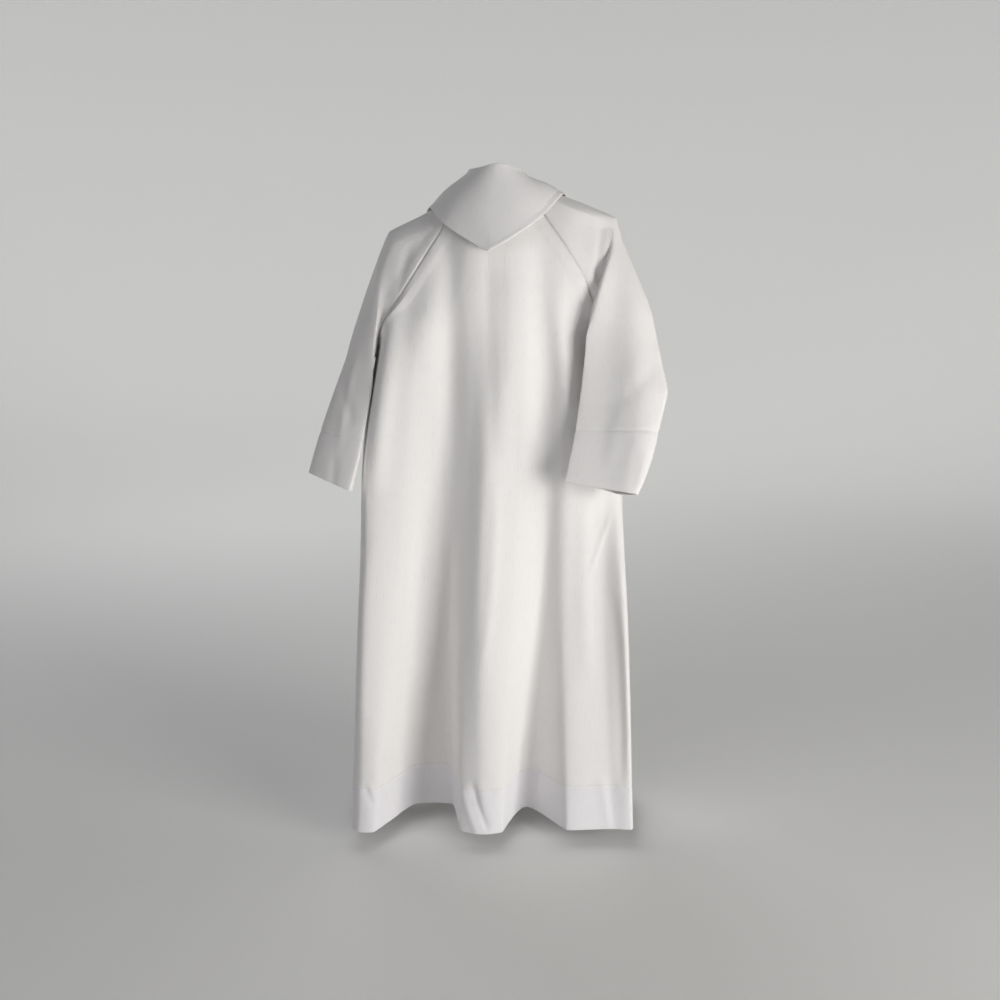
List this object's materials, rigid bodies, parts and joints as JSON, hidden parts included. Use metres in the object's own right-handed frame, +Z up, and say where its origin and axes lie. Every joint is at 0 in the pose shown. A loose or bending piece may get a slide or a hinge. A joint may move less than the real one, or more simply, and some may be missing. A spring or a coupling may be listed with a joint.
{
  "type": "child's hooded alb robe",
  "caption": "Hanging white child's alb with raglan sleeves, turned-up cuffs, a deep hem and a hood-shaped collar, hollow as if worn.",
  "frame": {"origin": "middle of the neck opening, at the height of the neck seam, where the wearer's neck and shoulders hold the robe", "axes": "+Z up along the robe, +Y the way the wearer faces, -X the wearer's left"},
  "size_m": [0.5926, 0.3033, 1.1168],
  "materials": {
    "poly_cotton_cloth": "matt white plain-woven poly-cotton"
  },
  "bodies": {
    "root": {"back_panel": "poly_cotton_cloth", "front_panel": "poly_cotton_cloth", "left_sleeve": "poly_cotton_cloth", "right_sleeve": "poly_cotton_cloth", "hood_collar": "poly_cotton_cloth"}
  },
  "joints": []
}
